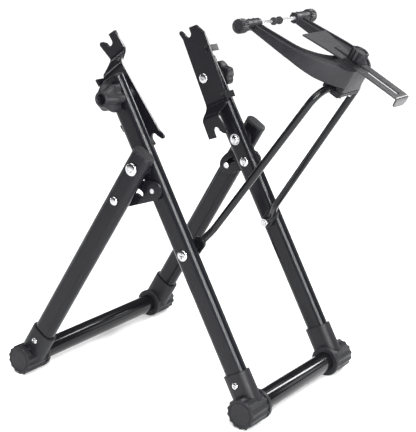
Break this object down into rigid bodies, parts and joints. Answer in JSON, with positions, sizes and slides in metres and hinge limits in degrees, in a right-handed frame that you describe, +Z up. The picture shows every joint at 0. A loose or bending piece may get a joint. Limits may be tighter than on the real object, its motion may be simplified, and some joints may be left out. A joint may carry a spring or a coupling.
{
  "type": "bicycle wheel truing stand",
  "caption": "Folding bench stand that holds a bicycle wheel by its axle while feeler screws on a swinging caliper show how true the rim runs.",
  "frame": {"origin": "on the floor, under the middle of the bounding box", "axes": "+Z up; +X from the short legs to the long uprights' feet, where the operator stands; +Y to the operator's right, across the stand"},
  "size_m": [0.4772, 0.3114, 0.4751],
  "materials": {
    "black_paint": "semi-gloss black paint",
    "gloss_black_paint": "gloss black paint",
    "moulded_plastic": "satin moulded black plastic",
    "zinc_steel": "bright zinc plate",
    "chrome": "polished",
    "tip_rubber": "matte black rubber",
    "grey_steel": "satin grey steel"
  },
  "bodies": {
    "upright_frame": {"bail_bolt_left": "zinc_steel", "bail_bolt_right": "zinc_steel", "bail_nut_left": "zinc_steel", "bail_nut_right": "zinc_steel", "bail_spacer_left": "zinc_steel", "bail_spacer_right": "zinc_steel", "crossbar_front": "gloss_black_paint", "front_foot_left": "moulded_plastic", "front_foot_right": "moulded_plastic", "front_foot_screw_left": "zinc_steel", "front_foot_screw_right": "zinc_steel", "pivot_bolt_left": "zinc_steel", "pivot_bolt_right": "zinc_steel", "pivot_nut_left": "zinc_steel", "pivot_nut_right": "zinc_steel", "pivot_spacer_left": "moulded_plastic", "pivot_spacer_right": "moulded_plastic", "stay_rivet_left": "zinc_steel", "stay_rivet_right": "zinc_steel", "upright_cap_left": "moulded_plastic", "upright_cap_right": "moulded_plastic", "upright_left": "black_paint", "upright_right": "black_paint"},
    "leg_frame": {"leg_left": "black_paint", "leg_cap_left": "moulded_plastic", "rear_foot_left": "moulded_plastic", "rear_foot_screw_left": "zinc_steel", "stay_pin_left": "zinc_steel", "leg_right": "black_paint", "leg_cap_right": "moulded_plastic", "rear_foot_right": "moulded_plastic", "rear_foot_screw_right": "zinc_steel", "stay_pin_right": "zinc_steel", "crossbar_rear": "gloss_black_paint"},
    "stay_left": {"stay_left": "black_paint"},
    "stay_right": {"stay_right": "black_paint"},
    "bail": {"bail_rod": "gloss_black_paint"},
    "caliper": {"caliper_fork": "moulded_plastic", "rod_clamp": "moulded_plastic", "clamp_screw_left": "zinc_steel", "clamp_screw_right": "zinc_steel", "gauge_stud": "zinc_steel", "gauge_guide": "moulded_plastic"},
    "gauge_slide": {"gauge_plate": "grey_steel"},
    "gauge_knob": {"gauge_knob": "moulded_plastic"},
    "bracket_left": {"bracket_left": "black_paint", "bracket_bolt_left": "zinc_steel", "bracket_spacer_left": "moulded_plastic"},
    "star_knob_left": {"star_knob_left": "moulded_plastic"},
    "feeler_left": {"feeler_rod_left": "chrome", "feeler_tip_left": "tip_rubber"},
    "feeler_knob_left": {"feeler_knob_left": "moulded_plastic"},
    "bracket_right": {"bracket_right": "black_paint", "bracket_bolt_right": "zinc_steel", "bracket_spacer_right": "moulded_plastic"},
    "star_knob_right": {"star_knob_right": "moulded_plastic"},
    "feeler_right": {"feeler_rod_right": "chrome", "feeler_tip_right": "tip_rubber"},
    "feeler_knob_right": {"feeler_knob_right": "moulded_plastic"}
  },
  "joints": [
    {"name": "leg_fold", "type": "hinge", "parent": "upright_frame", "child": "leg_frame", "pos_m": [-0.044, 0, 0.2964], "axis": [0, -1, 0], "range_deg": [0, 53]},
    {"name": "stay_turn_left", "type": "hinge", "parent": "upright_frame", "child": "stay_left", "pos_m": [-0.02868, -0.1075, 0.26831], "axis": [0, -1, 0], "range_deg": [0, 78.6]},
    {"name": "stay_turn_right", "type": "hinge", "parent": "upright_frame", "child": "stay_right", "pos_m": [-0.02868, 0.1075, 0.26831], "axis": [0, -1, 0], "range_deg": [0, 78.6]},
    {"name": "bail_swing", "type": "hinge", "parent": "upright_frame", "child": "bail", "pos_m": [0.01187, 0, 0.19394], "axis": [0, 1, 0], "range_deg": [-20, 60]},
    {"name": "caliper_tilt", "type": "hinge", "parent": "bail", "child": "caliper", "pos_m": [0.16082, 0, 0.39895], "axis": [0, 1, 0], "range_deg": [-40, 40]},
    {"name": "feeler_slide_left", "type": "slide", "parent": "caliper", "child": "feeler_left", "axis": [0, -1, 0], "range_m": [0, 0.0121]},
    {"name": "feeler_turn_left", "type": "hinge", "parent": "feeler_left", "child": "feeler_knob_left", "pos_m": [0.07185, -0.0745, 0.46669], "axis": [0, -1, 0], "range_deg": [0, 2160]},
    {"name": "feeler_slide_right", "type": "slide", "parent": "caliper", "child": "feeler_right", "axis": [0, 1, 0], "range_m": [0, 0.0121]},
    {"name": "feeler_turn_right", "type": "hinge", "parent": "feeler_right", "child": "feeler_knob_right", "pos_m": [0.07185, 0.0745, 0.46669], "axis": [0, 1, 0], "range_deg": [0, 2160]},
    {"name": "gauge_slide", "type": "slide", "parent": "caliper", "child": "gauge_slide", "axis": [0.8763, 0, -0.4818], "range_m": [-0.052, 0.018]},
    {"name": "gauge_knob_turn", "type": "hinge", "parent": "caliper", "child": "gauge_knob", "pos_m": [0.16912, 0, 0.41321], "axis": [0.4818, 0, 0.8763], "continuous": true},
    {"name": "bracket_swivel_left", "type": "hinge", "parent": "upright_frame", "child": "bracket_left", "pos_m": [-0.08709, -0.0762, 0.37541], "axis": [0, 1, 0], "range_deg": [-2.5, 18]},
    {"name": "bracket_swivel_right", "type": "hinge", "parent": "upright_frame", "child": "bracket_right", "pos_m": [-0.08709, 0.0762, 0.37541], "axis": [0, 1, 0], "range_deg": [-15, 6.5]},
    {"name": "star_knob_turn_left", "type": "hinge", "parent": "bracket_left", "child": "star_knob_left", "pos_m": [-0.08709, -0.118, 0.37541], "axis": [0, -1, 0], "continuous": true},
    {"name": "star_knob_turn_right", "type": "hinge", "parent": "bracket_right", "child": "star_knob_right", "pos_m": [-0.08709, 0.118, 0.37541], "axis": [0, 1, 0], "continuous": true}
  ],
  "couplings": [
    {"joint": "stay_turn_left", "follows": "leg_fold", "ratio": 1.4824},
    {"joint": "stay_turn_right", "follows": "leg_fold", "ratio": 1.4824},
    {"joint": "feeler_slide_left", "follows": "feeler_turn_left", "m_per_rad": 0.00031831},
    {"joint": "feeler_slide_right", "follows": "feeler_turn_right", "m_per_rad": 0.00031831}
  ]
}
